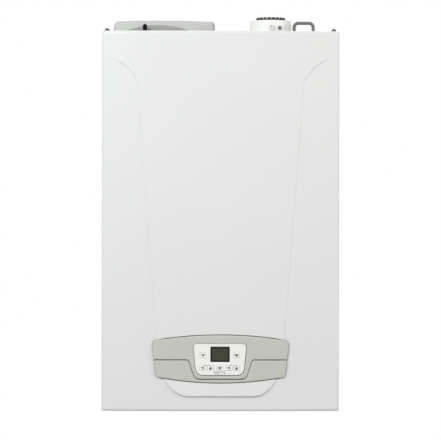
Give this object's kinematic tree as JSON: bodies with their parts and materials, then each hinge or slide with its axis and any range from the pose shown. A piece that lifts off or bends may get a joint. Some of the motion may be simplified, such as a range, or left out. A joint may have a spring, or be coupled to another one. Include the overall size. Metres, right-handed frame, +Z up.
{
  "type": "wall-hung condensing gas boiler",
  "caption": "Wall-hung condensing gas boiler: white bowed steel casing, tilting grey control fascia with keypad and display, flue turret and vessel on top, pipe unions below.",
  "frame": {"origin": "middle of the hanging rail's wall side, where the boiler is hung on the wall", "axes": "+X to the right seen from the front, +Y into the wall, +Z up; the front faces -Y"},
  "size_m": [0.45, 0.3439, 0.7633],
  "materials": {
    "white_enamel": "gloss white enamel",
    "zinc_steel": "zinc plated",
    "dark_zinc": "dark passivated zinc",
    "grey_plastic": "satin",
    "white_plastic": "satin",
    "black_plastic": "fine grain",
    "dark_plastic": "fine grain",
    "seal_rubber": "matte",
    "display_glass": "dark tinted cover over a liquid crystal display",
    "circuit_board": "solder resist",
    "grey_enamel": "satin grey paint",
    "cast_aluminium": "as cast",
    "stainless": "rolled",
    "copper": "drawn copper",
    "brass_fitting": "machined",
    "red_plastic": "satin"
  },
  "bodies": {
    "chassis": {"hanging_rail": "zinc_steel", "back_panel": "zinc_steel", "left_side_panel": "white_enamel", "right_side_panel": "white_enamel", "top_panel": "white_enamel", "bottom_panel": "zinc_steel", "cover_seal": "seal_rubber", "cover_screw_left": "dark_zinc", "cover_screw_right": "dark_zinc", "hinge_bracket_left": "zinc_steel", "hinge_bracket_right": "zinc_steel", "exchanger_housing": "cast_aluminium", "exchanger_coil": "stainless", "burner": "stainless", "burner_door": "cast_aluminium", "ignition_electrode": "white_plastic", "fan_housing": "cast_aluminium", "fan_motor": "black_plastic", "gas_mixer": "cast_aluminium", "air_intake_pipe": "black_plastic", "gas_valve": "cast_aluminium", "gas_pipe": "copper", "flue_elbow": "white_plastic", "flue_turret": "white_plastic", "flue_seal": "seal_rubber", "vent_hose": "dark_plastic", "expansion_vessel": "grey_enamel", "vessel_pipe": "copper", "charging_valve": "brass_fitting", "flow_manifold": "brass_fitting", "return_manifold": "brass_fitting", "pump_motor": "black_plastic", "plate_exchanger": "stainless", "diverter_motor": "black_plastic", "flow_pipe": "copper", "return_pipe": "copper", "condensate_trap": "white_plastic", "pressure_gauge": "black_plastic"},
    "cover": {"front_cover": "white_enamel"},
    "control_unit": {"control_fascia": "grey_plastic", "fascia_lower_trim": "grey_plastic", "keypad_plate": "white_plastic", "display_window": "display_glass", "control_housing": "dark_plastic", "control_board": "circuit_board", "control_hinge_rod": "zinc_steel"},
    "button_mode_key": {"button_mode": "white_plastic"},
    "button_reset_key": {"button_reset": "white_plastic"},
    "button_heating_minus_key": {"button_heating_minus": "white_plastic"},
    "button_heating_plus_key": {"button_heating_plus": "white_plastic"},
    "button_menu_key": {"button_menu": "white_plastic"},
    "button_hot_water_minus_key": {"button_hot_water_minus": "white_plastic"},
    "button_hot_water_plus_key": {"button_hot_water_plus": "white_plastic"},
    "fan_wheel": {"fan_impeller": "cast_aluminium"},
    "pressure_needle": {"gauge_needle": "red_plastic"},
    "relief_knob": {"relief_valve_knob": "red_plastic"},
    "filling_tap_knob": {"filling_knob": "black_plastic"},
    "air_cap": {"air_test_cap": "grey_plastic"},
    "flue_cap": {"flue_test_cap": "dark_plastic"},
    "charging_cap": {"valve_cap": "black_plastic"}
  },
  "joints": [
    {"name": "cover_slide", "type": "slide", "parent": "chassis", "child": "cover", "axis": [0, -1, 0], "range_m": [0, 0.12]},
    {"name": "control_tilt", "type": "hinge", "parent": "chassis", "child": "control_unit", "pos_m": [0, -0.3382, -0.5935], "axis": [1, 0, 0], "range_deg": [0, 80]},
    {"name": "mode_press", "type": "slide", "parent": "control_unit", "child": "button_mode_key", "axis": [0, 1, 0], "range_m": [0, 0.001], "stiffness_N_per_m": 1500},
    {"name": "reset_press", "type": "slide", "parent": "control_unit", "child": "button_reset_key", "axis": [0, 1, 0], "range_m": [0, 0.001], "stiffness_N_per_m": 1500},
    {"name": "heating_minus_press", "type": "slide", "parent": "control_unit", "child": "button_heating_minus_key", "axis": [0, 1, 0], "range_m": [0, 0.001], "stiffness_N_per_m": 1500},
    {"name": "heating_plus_press", "type": "slide", "parent": "control_unit", "child": "button_heating_plus_key", "axis": [0, 1, 0], "range_m": [0, 0.001], "stiffness_N_per_m": 1500},
    {"name": "menu_press", "type": "slide", "parent": "control_unit", "child": "button_menu_key", "axis": [0, 1, 0], "range_m": [0, 0.001], "stiffness_N_per_m": 1500},
    {"name": "hot_water_minus_press", "type": "slide", "parent": "control_unit", "child": "button_hot_water_minus_key", "axis": [0, 1, 0], "range_m": [0, 0.001], "stiffness_N_per_m": 1500},
    {"name": "hot_water_plus_press", "type": "slide", "parent": "control_unit", "child": "button_hot_water_plus_key", "axis": [0, 1, 0], "range_m": [0, 0.001], "stiffness_N_per_m": 1500},
    {"name": "fan_spin", "type": "hinge", "parent": "chassis", "child": "fan_wheel", "pos_m": [0.114, -0.26, -0.098], "axis": [0, 1, 0], "continuous": true},
    {"name": "needle_turn", "type": "hinge", "parent": "chassis", "child": "pressure_needle", "pos_m": [-0.1495, -0.238, -0.608], "axis": [0, 0, 1], "range_deg": [-135, 135]},
    {"name": "relief_turn", "type": "hinge", "parent": "chassis", "child": "relief_knob", "pos_m": [0.13, -0.2, -0.538], "axis": [0, 1, 0], "range_deg": [0, 90]},
    {"name": "filling_turn", "type": "hinge", "parent": "chassis", "child": "filling_tap_knob", "pos_m": [0.0975, -0.15, -0.62], "axis": [0, 0, 1], "range_deg": [0, 90]},
    {"name": "air_cap_pull", "type": "slide", "parent": "chassis", "child": "air_cap", "axis": [0, -1, 0], "range_m": [0, 0.012]},
    {"name": "flue_cap_pull", "type": "slide", "parent": "chassis", "child": "flue_cap", "axis": [0, -1, 0], "range_m": [0, 0.012]},
    {"name": "charging_cap_pull", "type": "slide", "parent": "chassis", "child": "charging_cap", "axis": [0, 0, 1], "range_m": [0, 0.014]}
  ]
}
